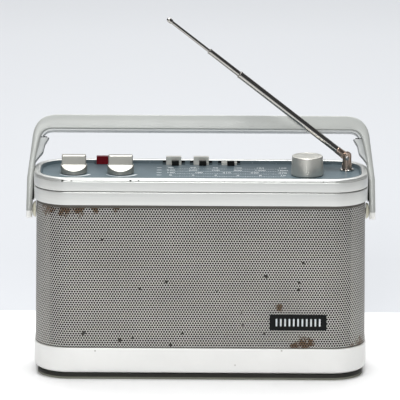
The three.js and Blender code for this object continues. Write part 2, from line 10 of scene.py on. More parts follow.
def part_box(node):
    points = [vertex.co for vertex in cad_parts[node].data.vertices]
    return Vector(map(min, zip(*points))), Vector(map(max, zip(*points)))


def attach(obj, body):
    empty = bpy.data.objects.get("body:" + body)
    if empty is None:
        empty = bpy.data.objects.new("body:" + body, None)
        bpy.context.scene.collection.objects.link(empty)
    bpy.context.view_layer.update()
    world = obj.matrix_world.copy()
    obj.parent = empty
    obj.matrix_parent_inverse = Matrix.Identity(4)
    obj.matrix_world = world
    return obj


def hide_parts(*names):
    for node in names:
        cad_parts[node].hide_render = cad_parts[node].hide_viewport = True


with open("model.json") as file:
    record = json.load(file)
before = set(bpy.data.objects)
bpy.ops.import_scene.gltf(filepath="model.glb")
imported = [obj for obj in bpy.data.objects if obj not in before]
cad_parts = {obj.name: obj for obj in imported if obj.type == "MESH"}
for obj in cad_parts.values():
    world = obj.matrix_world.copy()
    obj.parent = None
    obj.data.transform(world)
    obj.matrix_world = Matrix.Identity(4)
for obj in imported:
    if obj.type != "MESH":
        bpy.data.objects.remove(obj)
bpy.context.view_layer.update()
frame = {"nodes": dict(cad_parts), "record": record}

scene = bpy.context.scene
NODES = frame["nodes"]
MM = 0.001

# ---------- sizes in millimetres, the same as the solid model's ----------
LIFT = 4.7  # the plinth raises the cabinet, whose heights are counted from just below its tray
UNDERSIDE = 0.6
CORNER = 31  # plan radius of the cabinet's corners
TRAY = (286, 82)
BODY = (283, 79)  # at mid height: it is 1 mm wider at the foot and 1 mm narrower at the top
BAND = (286.4, 82)
Z_TRAY = 23.3
Z_BAND = 148.8
Z_SEAM = 160.7
Z_TOP = 172.3
PANEL_FLOOR = 169.3
RIM = 5.6

HOLE_PITCH = 2.25
HOLE_RADIUS = 0.93
ROW_PITCH = HOLE_PITCH * math.sin(math.radians(60))
GRILLE_BACK = 14

PIVOT_Z = 136.2
LEAN = 20
AERIAL = (125.5, 11, 180.5)
AERIAL_ELEVATION = 37.9


# ---------- materials ----------
class Nodes:
    """A material's node tree with short ways to add what the finishes share."""

    def __init__(self, name, base, roughness, metallic=0.0, **sockets):
        self.material = bpy.data.materials.new(name)
        self.material.use_nodes = True
        self.tree = self.material.node_tree
        self.shader = self.tree.nodes["Principled BSDF"]
        self.shader.inputs["Base Color"].default_value = (*base, 1)
        self.shader.inputs["Roughness"].default_value = roughness
        self.shader.inputs["Metallic"].default_value = metallic
        for socket, value in sockets.items():
            self.shader.inputs[socket.replace("_", " ")].default_value = value
        self.base = base
        self.roughness = roughness
        self.place = self.add("ShaderNodeTexCoord").outputs["Object"]
        self.colour = None

    def add(self, kind, **settings):
        node = self.tree.nodes.new(kind)
        for key, value in settings.items():
            setattr(node, key, value)
        return node

    def link(self, output, socket):
        self.tree.links.new(output, socket)

    def noise(self, scale, detail=3, stretch=None):
        """Noise of that many waves per metre, stretched along an axis if asked."""
        node = self.add("ShaderNodeTexNoise")
        node.inputs["Scale"].default_value = scale
        node.inputs["Detail"].default_value = detail
        source = self.place
        if stretch:
            mapping = self.add("ShaderNodeMapping")
            mapping.inputs["Scale"].default_value = stretch
            self.link(source, mapping.inputs["Vector"])
            source = mapping.outputs["Vector"]
        self.link(source, node.inputs["Vector"])
        return node.outputs["Fac"]

    def ramp(self, value, low, high):
        """0 below low, 1 above high."""
        node = self.add("ShaderNodeMapRange")
        node.inputs["From Min"].default_value = low
        node.inputs["From Max"].default_value = high
        self.link(value, node.inputs["Value"])
        return node.outputs["Result"]

    def math(self, operation, a, b):
        node = self.add("ShaderNodeMath", operation=operation)
        for socket, value in zip(node.inputs, (a, b)):
            if isinstance(value, (int, float)):
                socket.default_value = value
            else:
                self.link(value, socket)
        return node.outputs[0]

    def near(self, spots, softness=0.6):
        """A mask that is 1 inside any (x, y, z, radius) ball, in millimetres, with ragged edges."""
        ragged = self.noise(420, 4)
        total = None
        for x, y, z, radius in spots:
            away = self.add("ShaderNodeVectorMath", operation="DISTANCE")
            self.link(self.place, away.inputs[0])
            away.inputs[1].default_value = (x * MM, y * MM, (z + LIFT) * MM)
            wobble = self.math("MULTIPLY", ragged, 2 * radius * MM)
            reach = self.math("ADD", away.outputs["Value"], wobble)
            mask = self.ramp(reach, 1.9 * radius * MM, (1.9 - softness) * radius * MM)
            total = mask if total is None else self.math("MAXIMUM", total, mask)
        return total

    def below(self, z):
        """A mask that is 1 under a height in millimetres."""
        parts = self.add("ShaderNodeSeparateXYZ")
        self.link(self.place, parts.inputs[0])
        height = (z + LIFT) * MM
        return self.ramp(parts.outputs["Z"], height + 0.0004, height - 0.0004)

    def tint(self, mask, colour):
        """Paints a colour where the mask is 1, over what is there so far."""
        mix = self.add("ShaderNodeMix", data_type="RGBA")
        self.link(mask, mix.inputs["Factor"])
        if self.colour is None:
            mix.inputs["A"].default_value = (*self.base, 1)
        else:
            self.link(self.colour, mix.inputs["A"])
        mix.inputs["B"].default_value = (*colour, 1)
        self.colour = mix.outputs["Result"]
        self.link(self.colour, self.shader.inputs["Base Color"])

    def mottle(self, scale, amount, detail=3, stretch=None):
        """Lightens and darkens the base colour a little."""
        dark = [c * (1 - amount) for c in self.base]
        self.tint(self.ramp(self.noise(scale, detail, stretch), 0.35, 0.65), dark)

    def uneven_gloss(self, scale, amount, detail=3, stretch=None):
        node = self.add("ShaderNodeMapRange")
        node.inputs["To Min"].default_value = self.roughness - amount
        node.inputs["To Max"].default_value = self.roughness + amount
        self.link(self.noise(scale, detail, stretch), node.inputs["Value"])
        self.link(node.outputs["Result"], self.shader.inputs["Roughness"])

    def bump(self, scale, height, detail=2, stretch=None):
        node = self.add("ShaderNodeBump")
        node.inputs["Distance"].default_value = height * MM
        node.inputs["Strength"].default_value = 0.6
        self.link(self.noise(scale, detail, stretch), node.inputs["Height"])
        self.link(node.outputs["Normal"], self.shader.inputs["Normal"])


def silver_paint():
    """Satin silver with fine streaks along the band, and chips through to the dark ground on the rim."""
    m = Nodes("silver_paint", (0.70, 0.71, 0.69), 0.36, 0.75, Coat_Weight=0.1)
    m.mottle(60, 0.05, stretch=(0.15, 1, 14))
    m.uneven_gloss(90, 0.05, stretch=(0.3, 0.3, 6))
    m.bump(2200, 0.02)
    chips = [
        (-118, -40, 170, 1.6), (-110, -40.5, 170.2, 1.3), (-60, -40.6, 170.6, 1.2), (-53, -40.6, 170.8, 0.9),
        (137, -22, 170.3, 1.8), (131, -29, 170.6, 1.0), (104, -40.4, 170.4, 0.8), (20, -40.8, 170.2, 0.7),
    ]
    m.tint(m.near(chips), (0.05, 0.055, 0.05))
    return m.material


def pale_silver():
    m = Nodes("pale_silver", (0.88, 0.88, 0.86), 0.36, 0.15, Coat_Weight=0.1)
    m.mottle(35, 0.03)
    m.uneven_gloss(120, 0.05)
    m.bump(2000, 0.02)
    scuffs = [
        (70, -41, 22, 1.2), (30, -41, 9, 1.0), (136, -28, 20, 1.2), (-90, -41, 21, 0.8), (-102, -40, 8, 0.9),
    ]
    m.tint(m.near(scuffs), (0.46, 0.45, 0.42))
    return m.material


def handle_silver():
    """Grey satin; the rounded feet below the pivots are painted near white, a painted reflection of the white
    table below.
    """
    m = Nodes("handle_silver", (0.44, 0.455, 0.435), 0.42, 0.1, Coat_Weight=0.08)
    m.mottle(40, 0.06, stretch=(0.5, 1, 1))
    m.uneven_gloss(60, 0.06)
    m.bump(2600, 0.015)
    # painted reflection: the feet below the pivots are coloured near white for the bright table they face
    m.tint(m.below(PIVOT_Z), (0.86, 0.86, 0.83))
    return m.material


def handle_liner(name, base):
    m = Nodes(name, base, 0.42, 0.2)
    m.mottle(50, 0.06)
    m.uneven_gloss(90, 0.06)
    m.bump(2200, 0.02)
    return m.material


# Where the grille's paint has gone brown, and where it has dark specks: (x, y, z, radius).
RUST = [
    (-134, -14, 144, 10), (-128, -28, 144.5, 10), (-117, -37, 145, 9), (-104, -40, 145, 7),
    (-90, -40, 145.5, 5), (-72, -40, 146, 4), (134, -22, 25, 9), (129, -31, 24, 5),
    (88, -40, 27.6, 8), (94, -40, 29, 5), (81, -40, 26, 5), (68, -40, 60, 4),
    (-131, -21, 88, 3), (-132, -19, 82, 2.6),
]
GRIME = [
    (88, -40, 98.8, 1.8), (56, -40, 87, 2.1), (84, -40, 75.4, 2.0), (84.3, -40, 82, 1.5),
    (36.4, -40, 44.3, 1.5), (55, -40, 36.7, 1.4), (123.8, -33, 40, 1.8), (35.4, -40, 55.3, 1.3),
    (14, -40, 73.4, 1.1), (-29.6, -40, 82, 1.8), (-100, -40, 36.2, 2.2), (-69, -40, 30.4, 1.8),
    (-58, -40, 32.4, 1.3), (-25.4, -40, 26, 1.7), (-14.7, -40, 36.7, 1.4), (-120.3, -35, 50.5, 1.8),
    (-124, -33, 84.7, 1.7), (-52, -40, 75, 1.6), (12, -40, 120, 1.4), (-84, -40, 118, 1.5),
    (104, -40, 128, 1.4),
]


def grille_silver():
    """Painted sheet whose paint has gone brown at two corners and under the badge, with dark specks."""
    m = Nodes("grille_silver", (0.63, 0.625, 0.595), 0.38, 0.35)
    m.mottle(25, 0.10)
    m.uneven_gloss(140, 0.06)
    m.bump(900, 0.05)
    m.tint(m.near(RUST, 0.5), (0.19, 0.115, 0.065))
    m.tint(m.near(GRIME, 0.2), (0.045, 0.04, 0.035))
    return m.material


def cloth_black():
    m = Nodes("cloth_black", (0.012, 0.012, 0.012), 0.9)
    m.mottle(900, 0.5)
    m.bump(1500, 0.2)
    return m.material


def panel_blue():
    m = Nodes("panel_blue", (0.110, 0.148, 0.168), 0.42, Specular_IOR_Level=0.12)
    m.mottle(30, 0.12)
    m.uneven_gloss(80, 0.05)
    m.bump(1200, 0.01)
    dust = m.ramp(m.noise(700, 6), 0.66, 0.74)
    m.tint(dust, (0.26, 0.31, 0.34))
    return m.material


def dial_white():
    m = Nodes("dial_white", (0.70, 0.74, 0.76), 0.45)
    m.mottle(400, 0.15)
    m.uneven_gloss(300, 0.05)
    return m.material


def knob_silver(name, base, roughness):
    m = Nodes(name, base, roughness, 0.8)
    m.mottle(60, 0.03)
    m.uneven_gloss(110, 0.03)
    m.bump(2000, 0.008)
    return m.material


def plastic(name, base, roughness, grain=0.02, amount=0.08, shine=0.5):
    """Moulded plastic: a faint mottle, uneven gloss and a fine grain."""
    m = Nodes(name, base, roughness, Specular_IOR_Level=shine)
    m.mottle(70, amount)
    m.uneven_gloss(150, 0.06)
    m.bump(1800, grain)
    return m.material


def plinth_rubber():
    """Black, with its lower edge painted a lighter olive: painted light from the white table reaching the
    plinth's foot.
    """
    m = Nodes("rubber", (0.02, 0.02, 0.016), 0.6, Specular_IOR_Level=0.3)
    m.mottle(70, 0.08)
    m.uneven_gloss(150, 0.06)
    m.bump(1800, 0.06)
    # painted light: the lower edge is lightened to olive for the light bounced up from the table
    m.tint(m.below(-2.9), (0.22, 0.225, 0.18))
    return m.material


def metal(name, base, roughness, streak=(1, 1, 1), amount=0.1):
    """Plain or plated metal with fine scratches along one axis."""
    m = Nodes(name, base, roughness, 1.0)
    m.mottle(80, amount)
    m.uneven_gloss(260, 0.06, stretch=streak)
    m.bump(1500, 0.008, stretch=streak)
    return m.material


MATERIALS = {
    "silver_paint": silver_paint(),
    "pale_silver": pale_silver(),
    "handle_silver": handle_silver(),
    "handle_liner": handle_liner("handle_liner", (0.58, 0.60, 0.60)),
    "grille_silver": grille_silver(),
    "panel_blue": panel_blue(),
    "knob_silver": knob_silver("knob_silver", (0.70, 0.69, 0.64), 0.38),
    "red_plastic": plastic("red_plastic", (0.17, 0.005, 0.012), 0.35, shine=0.1),
    "black_plastic": plastic("black_plastic", (0.008, 0.009, 0.009), 0.45, shine=0.1),
    "chrome": metal("chrome", (0.50, 0.48, 0.45), 0.12, (0.2, 0.2, 1)),
    "steel": metal("steel", (0.42, 0.42, 0.41), 0.34, (1, 1, 0.2)),
    "rubber": plinth_rubber(),
    "paper_cone": plastic("paper_cone", (0.03, 0.03, 0.028), 0.85, 0.15, 0.3),
    "circuit": plastic("circuit", (0.035, 0.12, 0.05), 0.42, 0.03, 0.3),
    "ferrite": plastic("ferrite", (0.035, 0.03, 0.028), 0.6, 0.08, 0.3),
    "capacitor": plastic("capacitor", (0.55, 0.55, 0.52), 0.25),
    "cell_jacket": metal("cell_jacket", (0.35, 0.22, 0.07), 0.36, (1, 1, 1), 0.25),
}
ARM_LINER = handle_liner("arm_liner", (0.40, 0.415, 0.41))
CLOTH = cloth_black()
EDGE = plastic("grille_edge", (0.08, 0.074, 0.062), 0.5)
# Painted shade: a darker copy of the knob metal, standing for the shade on the grip knobs' front faces.
SHADED_GRIP_METAL = knob_silver("grip_metal_shaded", (0.46, 0.455, 0.415), 0.36)
DIAL = dial_white()
CREAM = plastic("boss_cream", (0.66, 0.64, 0.52), 0.35)
BRASSY = metal("aerial_elbow", (0.52, 0.40, 0.33), 0.3)


# ---------- mesh helpers, all in millimetres ----------
def piece(name, points, faces, slot, body, *nodes, material=None, sharp=38):
    """A smooth-shaded mesh that rides on a body and stands for the named solids."""
    mesh = bpy.data.meshes.new(name)
    mesh.from_pydata([(x * MM, y * MM, (z + LIFT) * MM) for x, y, z in points], [], faces)
    work = bmesh.new()
    work.from_mesh(mesh)
    bmesh.ops.remove_doubles(work, verts=work.verts, dist=1e-6)
    bmesh.ops.recalc_face_normals(work, faces=work.faces)
    work.to_mesh(mesh)
    work.free()
    mesh.materials.append(material or MATERIALS[slot])
    mesh.polygons.foreach_set("use_smooth", [True] * len(mesh.polygons))
    mesh.set_sharp_from_angle(angle=math.radians(sharp))
    made = bpy.data.objects.new(name, mesh)
    scene.collection.objects.link(made)
    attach(made, body)
    if nodes:
        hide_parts(*nodes)
    return made


def soften(made, width, segments=3, angle=40):
    """Rounds an object's sharp edges by a width in millimetres."""
    bevel = made.modifiers.new("soft_edges", "BEVEL")
    bevel.width = width * MM
    bevel.segments = segments
    bevel.limit_method = "ANGLE"
    bevel.angle_limit = math.radians(angle)
    bevel.harden_normals = True
    return made


def loft(rings, closed):
    """Quads between rings of one length; closed joins the last to the first, open caps both ends."""
    count = len(rings[0])
    points = [point for ring in rings for point in ring]
    faces = []
    last = len(rings) if closed else len(rings) - 1
    for row in range(last):
        low = row * count
        high = ((row + 1) % len(rings)) * count
        for i in range(count):
            j = (i + 1) % count
            faces.append((low + i, low + j, high + j, high + i))
    if not closed:
        faces.append(tuple(range(count)))
        faces.append(tuple(range(len(points) - count, len(points))))
    return points, faces


def fillet(outline, steps=4):
    """An outline of (a, b, radius) corners with its corners rounded; a closed outline."""
    result = []
    count = len(outline)
    for index, (a, b, radius) in enumerate(outline):
        here = Vector((a, b))
        if not radius:
            result.append((a, b))
            continue
        back = Vector(outline[index - 1][:2]) - here
        on = Vector(outline[(index + 1) % count][:2]) - here
        reach = min(radius, 0.49 * back.length, 0.49 * on.length)
        start = here + back.normalized() * reach
        end = here + on.normalized() * reach
        for step in range(steps + 1):
            t = step / steps
            point = start * (1 - t) ** 2 + here * (2 * t * (1 - t)) + end * t ** 2
            result.append((point.x, point.y))
    return result


CORNER_STEPS = 20


def plan_ring(size, inset, z):
    """The cabinet's plan at a height, drawn in by inset."""
    x = size[0] / 2 - inset
    y = size[1] / 2 - inset
    r = max(CORNER - inset, 0.5)
    ring = []
    for quarter, (sx, sy) in enumerate(((1, -1), (1, 1), (-1, 1), (-1, -1))):
        for step in range(CORNER_STEPS + 1):
            angle = math.radians(-90 + 90 * quarter + 90 * step / CORNER_STEPS)
            ring.append((sx * (x - r) + r * math.cos(angle), sy * (y - r) + r * math.sin(angle), z))
    return ring


def shell(name, size, profile, slot, *nodes, closed=True, material=None):
    """A band round the cabinet from (inset, z) points."""
    rings = [plan_ring(size, inset, z) for inset, z in profile]
    return piece(name, *loft(rings, closed), slot, "cabinet", *nodes, material=material)


def lathe(profile, segments=72):
    """Points and faces of a turned solid about +Z; the profile starts and ends on the axis."""
    points = []
    faces = []
    inner = profile[1:-1]
    for radius, z in inner:
        for step in range(segments):
            angle = 2 * math.pi * step / segments
            points.append((radius * math.cos(angle), radius * math.sin(angle), z))
    for row in range(len(inner) - 1):
        for i in range(segments):
            j = (i + 1) % segments
            low = row * segments
            faces.append((low + i, low + j, low + segments + j, low + segments + i))
    faces.append(tuple(range(segments)))
    faces.append(tuple(range(len(points) - segments, len(points))))
    return points, faces


def moved(points, matrix):
    return [tuple(matrix @ Vector(point)) for point in points]


def at(x, y, z):
    return Matrix.Translation((x, y, z))


def brick(x0, x1, y0, y1, z0, z1):
    """Points and faces of a box."""
    return loft([[(x, y0, z0), (x, y1, z0), (x, y1, z1), (x, y0, z1)] for x in (x0, x1)], False)


# ---------- cabinet ----------
def base_tray():
    outline = fillet([
        (12, UNDERSIDE, 0), (4.2, UNDERSIDE, 3), (0.5, 2.6, 4), (0, 7, 3),
        (0, Z_TRAY, 0.7), (1.7, Z_TRAY, 0.5), (1.7, 9, 2), (12, 3.4, 2),
    ])
    shell("tray", TRAY, outline, "pale_silver", "base_tray", closed=False)


def base_plinth():
    """The dark ring that the tray stands on."""
    foot = -LIFT
    top = UNDERSIDE - 0.3
    outline = fillet([(3, foot, 0.5), (3, top, 0.3), (9.9, top, 0), (9.9, foot, 0.3)])
    shell("plinth", TRAY, outline, "rubber", "base_plinth")


def lower_band():
    outline = fillet([
        (0.5, Z_BAND, 0.7), (0, Z_SEAM - 0.35, 0.6), (2.6, Z_SEAM - 0.35, 0), (2.6, Z_BAND, 0),
    ])
    shell("lower_band_shell", BAND, outline, "silver_paint", "lower_band")
    for name in ("left", "right"):
        side = -1 if name == "left" else 1
        x0, x1 = sorted((side * 134, side * 138))
        points, faces = loft([[(x0, y, z) for y, z in LUG], [(x1, y, z) for y, z in LUG]], False)
        piece(f"pivot_lug_{name}", points, faces, "silver_paint", "cabinet")


LUG = fillet([(-8, Z_BAND + 3, 0), (8, Z_BAND + 3, 0), (8, PIVOT_Z - 8, 5), (-8, PIVOT_Z - 8, 5)])


def top_cover():
    groove = 169.9
    outline = fillet([
        (0.1, Z_SEAM + 0.35, 0.6), (0, groove - 0.4, 0.3), (1.1, groove, 0.1), (0.2, groove + 0.5, 0.6),
        (1.2, Z_TOP, 1.6), (RIM, Z_TOP, 1.6), (RIM + 0.1, 166.4, 0), (3, 166.2, 0), (3, Z_SEAM + 0.35, 0),
    ], 5)
    shell("top_cover_shell", BAND, outline, "silver_paint", "top_cover")


# ---------- grille ----------
HALF_FLAT = BODY[0] / 2 - CORNER
ARC = CORNER * math.pi / 2
HALF_SIDE = BODY[1] / 2 - CORNER
REACH = HALF_FLAT + ARC + HALF_SIDE + GRILLE_BACK  # the sheet's end, from the middle of the front
BACKING_FROM = HALF_FLAT + 20


def on_grille(s, z, out=0.0):
    """A point on the grille's face: s runs round the plan from the middle of the front, out is outwards."""
    offset = 0.5 - (z - Z_TRAY) / (Z_BAND - Z_TRAY) + out - dent_depth(s, z)
    side = 1 if s >= 0 else -1
    run = abs(s)
    if run <= HALF_FLAT:
        x, y, nx, ny = run, -BODY[1] / 2, 0.0, -1.0
    elif run <= HALF_FLAT + ARC:
        angle = (run - HALF_FLAT) / CORNER
        nx, ny = math.sin(angle), -math.cos(angle)
        x, y = HALF_FLAT + CORNER * nx, -HALF_SIDE + CORNER * ny
    else:
        x, y, nx, ny = BODY[0] / 2, -HALF_SIDE + run - HALF_FLAT - ARC, 1.0, 0.0
    return (side * (x + nx * offset), y + ny * offset, z)


# Shallow dents in the grille: (run, height, depth, radius).
DENTS = [
    (68, 61, 0.8, 4), (-66, 96, 0.6, 3), (30, 70, 0.5, 3),
    (-110, 60, 0.7, 4), (112, 110, 0.5, 3), (-20, 118, 0.5, 3),
]


def dent_depth(s, z):
    total = 0.0
    for centre, height, depth, radius in DENTS:
        total += depth * math.exp(-((s - centre) ** 2 + (z - height) ** 2) / radius ** 2)
    return total


def perforated(name, side):
    """Half of the grille: one ring of quads round every hole, in staggered rows."""
    points = []
    faces = []
    low, high = Z_TRAY + 0.9, Z_BAND - 2.2
    rows = int((high - low) / ROW_PITCH)
    columns = int((REACH - HOLE_PITCH) / HOLE_PITCH)
    for row in range(rows + 1):
        z = low + row * ROW_PITCH
        shift = 0.25 if row % 2 else 0.75
        for column in range(columns) if side > 0 else range(-columns, 0):
            s = (column + shift) * HOLE_PITCH
            start = len(points)
            for step in range(12):
                angle = math.radians(30 * step)
                edge = HOLE_PITCH / 2 / (1 if step % 2 == 0 else math.cos(math.radians(30)))
                for radius in (edge, HOLE_RADIUS):
                    points.append(on_grille(s + radius * math.cos(angle), z + radius * math.sin(angle)))
            for step in range(12):
                a = start + 2 * step
                b = start + 2 * ((step + 1) % 12)
                faces.append((a, b, b + 1, a + 1))
    made = piece(name, points, faces, "grille_silver", "cabinet", "front_grille", sharp=60)
    return made


def grille_strip(name, start, end, z0, z1, face, material):
    """A plain strip between two runs and two heights, with its face that far out of the sheet."""
    steps = max(int(abs(end - start) / 2), 2)
    rings = []
    for step in range(steps + 1):
        s = start + (end - start) * step / steps
        section = ((z0, -0.6), (z0, face), (z1, face), (z1, -0.6))
        rings.append([on_grille(s, z, out) for z, out in section])
    piece(name, *loft(rings, False), "grille_silver", "cabinet", "front_grille", material=material)


def grille_strips():
    """Plain strips along the top, bottom and ends, and a dark backing behind the holes round the corners."""
    low, high = Z_TRAY + 0.9, Z_BAND - 2.4
    grille_strip("grille_edge_top", -REACH, REACH, high, Z_BAND - 0.35, 0.04, EDGE)
    grille_strip("grille_edge_bottom", -REACH, REACH, Z_TRAY + 0.35, low, 0.04, EDGE)
    for name, side in (("left", -1), ("right", 1)):
        sheet = MATERIALS["grille_silver"]
        grille_strip(f"grille_end_{name}", side * (REACH - 3.4), side * REACH, low, high, 0.04, sheet)
        start, end = side * BACKING_FROM, side * (REACH - 3.6)
        grille_strip(f"grille_backing_{name}", start, end, low, high, -0.15, EDGE)


def speaker_cloth():
    reach = REACH - 1
    steps = 120
    rings = []
    for step in range(steps + 1):
        s = reach * (2 * step / steps - 1)
        low, high = Z_TRAY + 0.6, Z_BAND - 0.6
        section = ((low, -2.2), (low, -1.7), (high, -1.7), (high, -2.2))
        rings.append([on_grille(s, z, out) for z, out in section])
    piece("speaker_cloth", *loft(rings, False), "black_plastic", "cabinet", material=CLOTH)


def badge():
    """A black plate with a row of plain raised bars."""
    x, z, width, height = 83.8, 46.8, 48.8, 13.7
    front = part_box("badge_plate")[0].y / MM
    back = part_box("badge_plate")[1].y / MM
    a, b = width / 2, height / 2
    outline = fillet([(-a, -b, 0.8), (a, -b, 0.8), (a, b, 0.8), (-a, b, 0.8)])
    rings = [[(x + a, y, z + b) for a, b in outline] for y in (back, front + 0.2)]
    plate = piece("badge", *loft(rings, False), "black_plastic", "cabinet", "badge_plate")
    soften(plate, 0.25)
    for index in range(11):
        centre = x - 18.5 + 3.7 * index
        tall = 3.3
        bar = fillet([(-0.7, -tall, 0.5), (0.7, -tall, 0.5), (0.7, tall, 0.5), (-0.7, tall, 0.5)])
        rings = [[(centre + a, y, z + b) for a, b in bar] for y in (front + 0.3, front)]
        piece(f"badge_bar_{index + 1}", *loft(rings, False), "knob_silver", "cabinet", material=DIAL)


# ---------- control panel ----------
def label(text, x, y, height=3.4):
    """A flat printed number on the panel."""
    curve = bpy.data.curves.new("dial_number", "FONT")
    curve.body = text
    curve.size = height * 1.4 * MM
    curve.offset = 0.12 * MM
    curve.align_x = "CENTER"
    curve.align_y = "CENTER"
    made = bpy.data.objects.new("dial_number", curve)
    scene.collection.objects.link(made)
    made.location = (x * MM, y * MM, (PANEL_FLOOR + 0.04) * MM)
    bpy.context.view_layer.update()
    mesh = bpy.data.meshes.new_from_object(made.evaluated_get(bpy.context.evaluated_depsgraph_get()))
    mesh.transform(made.matrix_world)
    bpy.data.objects.remove(made)
    return mesh


def tick(x, y, width, depth):
    z = PANEL_FLOOR + 0.04
    mesh = bpy.data.meshes.new("dial_tick")
    corners = [(x - width / 2, y - depth / 2), (x + width / 2, y - depth / 2), (x + width / 2, y + depth / 2),
               (x - width / 2, y + depth / 2)]
    mesh.from_pydata([(a * MM, b * MM, z * MM) for a, b in corners], [], [(0, 1, 2, 3)])
    return mesh


def arc(x, y, radius, start, end):
    """A printed wedge round a knob, from a hairline to a broad end."""
    z = PANEL_FLOOR + 0.04
    steps = 24
    inner = []
    outer = []
    for step in range(steps + 1):
        angle = math.radians(start + (end - start) * step / steps)
        wide = 0.5 + 2.2 * step / steps
        inner.append((x + radius * math.cos(angle), y + radius * math.sin(angle)))
        outer.append((x + (radius + wide) * math.cos(angle), y + (radius + wide) * math.sin(angle)))
    mesh = bpy.data.meshes.new("dial_arc")
    faces = [(k, k + 1, steps + 2 + k, steps + 1 + k) for k in range(steps)]
    mesh.from_pydata([(a * MM, b * MM, z * MM) for a, b in inner + outer], [], faces)
    return mesh


SCALES = [
    (17.0, "88 92 96 100 104 108"),
    (7.5, "530 600 700 900 1200 1600"),
    (-2.0, "150 180 210 240 270"),
    (-12.0, "0 2 4 6 8 10"),
]


def dial():
    """Four rows of generic scale numbers with tick lines, and a widening wedge round each grip knob."""
    printed = []
    left, right = -26, 70
    for y, numbers in SCALES:
        row = numbers.split()
        for index, number in enumerate(row):
            printed.append(label(number, left + (right - left) * index / (len(row) - 1), y))
        for index in range(49):
            long = 1.6 if index % 4 == 0 else 0.9
            printed.append(tick(left + (right - left) * index / 48, y - 3.6, 0.35, long))
        printed.append(tick((left + right) / 2, y - 4.6, right - left, 0.3))
        printed.append(tick(left - 10, y, 4.2, 1.3))
    for knob_x in (-109, -69):
        printed.append(arc(knob_x, -4, 13.6, -150, -25))
    join = bmesh.new()
    for mesh in printed:
        join.from_mesh(mesh)
        bpy.data.meshes.remove(mesh)
    join.verts.index_update()
    points = [tuple(value / MM for value in vertex.co) for vertex in join.verts]
    faces = [tuple(vertex.index for vertex in face.verts) for face in join.faces]
    join.free()
    made = piece("dial_print", points, faces, "panel_blue", "cabinet", material=DIAL)
    made.modifiers.new("thickness", "SOLIDIFY").thickness = 0.03 * MM


def key_gaps():
    """The dark slot behind each push key, where its well meets the panel's raised edge."""
    for index, x in enumerate((-23.6, 0.1, 24.3)):
        slot = brick(x - 9.6, x + 9.6, 34.25, 34.55, 170.0, 171.5)
        piece(f"key_gap_{index + 1}", *slot, "black_plastic", "cabinet")


# ---------- knobs ----------
KNOB_RADIUS = 11.4
KNOB_FOOT = 0.6


def grip_knob(name, x, body, node):
    """A disc that slopes up from its rim to a straight grip, from sections across it, front to back."""
    rim, rise, grip, top = 2.9, 6.6, 3.35, 15.2
    slope = []
    for degrees in (0, 2, 5, 9, 14, 20, 27, 35, 44, 53, 60):
        y = -KNOB_RADIUS * math.cos(math.radians(degrees))
        slope.append((y, rim + (rise - rim) * (KNOB_RADIUS + y) / (KNOB_RADIUS - grip)))
    front = slope + fillet([(*slope[-1], 0), (-grip, rise, 0.7), (-2.9, top, 1.2), (0, top, 0)], 6)[1:]
    stations = front + [(-y, height) for y, height in front[-2::-1]]
    rings = []
    for y, height in stations:
        half = math.sqrt(max(KNOB_RADIUS ** 2 - y ** 2, 0.01))
        corner = 0.8 * min(half, 0.9)
        shelf = min(height - 0.01, rise)
        grip_end = max(half - 0.9, 0.05)
        right = [(half, 0, 0), (half, shelf, corner), (grip_end, shelf, 0), (grip_end, height, 1.0)]
        outline = fillet(right + [(-a, b, radius) for a, b, radius in right[::-1]])
        rings.append([(x + a, y - 4, b + PANEL_FLOOR + KNOB_FOOT) for a, b in outline])
    piece(name, *loft(rings, False), "knob_silver", body, node, material=SHADED_GRIP_METAL, sharp=50)


def grip_knobs():
    for name, x in (("volume", -109), ("tone", -69)):
        grip_knob(f"{name}_grip", x, f"{name}_control", f"{name}_knob")


def tuning_knob():
    outline = fillet([
        (0, 0, 0), (13.5, 0, 0), (13.8, 0.8, 0.4), (13.2, 16.2, 1.7),
        (11.6, 16.2, 0.5), (11.2, 15.9, 0.4), (0, 15.8, 0),
    ], 7)
    points, faces = lathe(outline, 96)
    points = moved(points, at(91, -8, PANEL_FLOOR + 0.6))
    piece("tuning_dial", points, faces, "knob_silver", "tuning_control", "tuning_knob", sharp=50)


# ---------- handle ----------
OUTER = {"foot": 150.0, "bend": 149.5, "bend_at": 26.0, "top": 145.0, "bar": 81.1, "radius": 19.5}
INNER = {"foot": 145.0, "bend": 143.4, "bend_at": 39.2, "top": 138.6, "bar": 68.9, "radius": 10.5}


def edge_point(edge, share, inward=0.0):
    """A point of one edge of the right half.

    Share 0 is the foot's end, 1 the pivot, 2 the bend, 3 the corner's start, 4 its end, 5 the bar's middle.
    """
    r = edge["radius"] - inward
    foot, bend, top, bar = (edge[key] - inward for key in ("foot", "bend", "top", "bar"))
    knots = [(foot, -7.6), (foot, 0), (bend, edge["bend_at"]), (top, edge["bar"] - edge["radius"])]
    if share <= 3:
        index = min(int(share), 2)
        (x0, v0), (x1, v1) = knots[index], knots[index + 1]
        t = share - index
        return x0 + (x1 - x0) * t, v0 + (v1 - v0) * t
    start = Vector((top, edge["bar"] - edge["radius"]))
    corner = Vector((top - 0.1 * r, bar))
    end = Vector((top - 1.1 * r, bar))
    if share <= 4:
        t = share - 3
        point = start * (1 - t) ** 2 + corner * (2 * t * (1 - t)) + end * t ** 2
        return point.x, point.y
    return end.x * (5 - share), bar


def handle_matrix():
    return at(0, 0, PIVOT_Z) @ Matrix.Rotation(-math.radians(LEAN), 4, "X")


